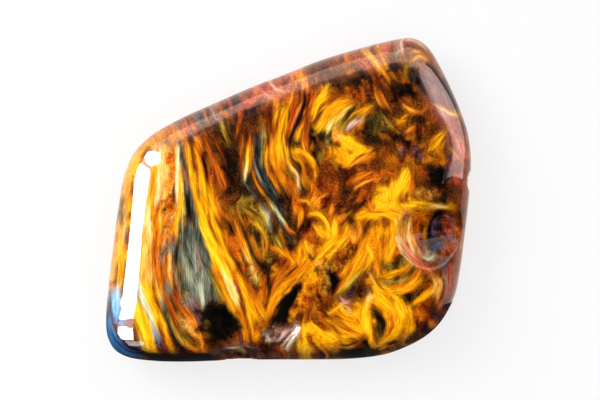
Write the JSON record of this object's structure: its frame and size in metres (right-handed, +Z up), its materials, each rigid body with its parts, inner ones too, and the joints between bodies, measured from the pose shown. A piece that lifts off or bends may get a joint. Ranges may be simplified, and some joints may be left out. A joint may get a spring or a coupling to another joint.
{
  "type": "polished pietersite stone",
  "caption": "Flat tumbled pietersite with rounded rims, swirling gold, brown and blue-grey fibres, and a scooped chip in its right rim; a loose specimen that rests on its flat underside.",
  "frame": {"origin": "middle of the stone's outline, on the flat face that it rests on", "axes": "+Z up out of the domed top; +X towards the side with the scooped chip, the stone's longer extent; +Y towards the long slanting edge"},
  "size_m": [0.0328, 0.0292, 0.0091],
  "materials": {
    "pietersite": "high polish over silky fibres in gold, amber, rust, near-black and blue-grey"
  },
  "bodies": {
    "root": {"stone": "pietersite"}
  },
  "joints": []
}
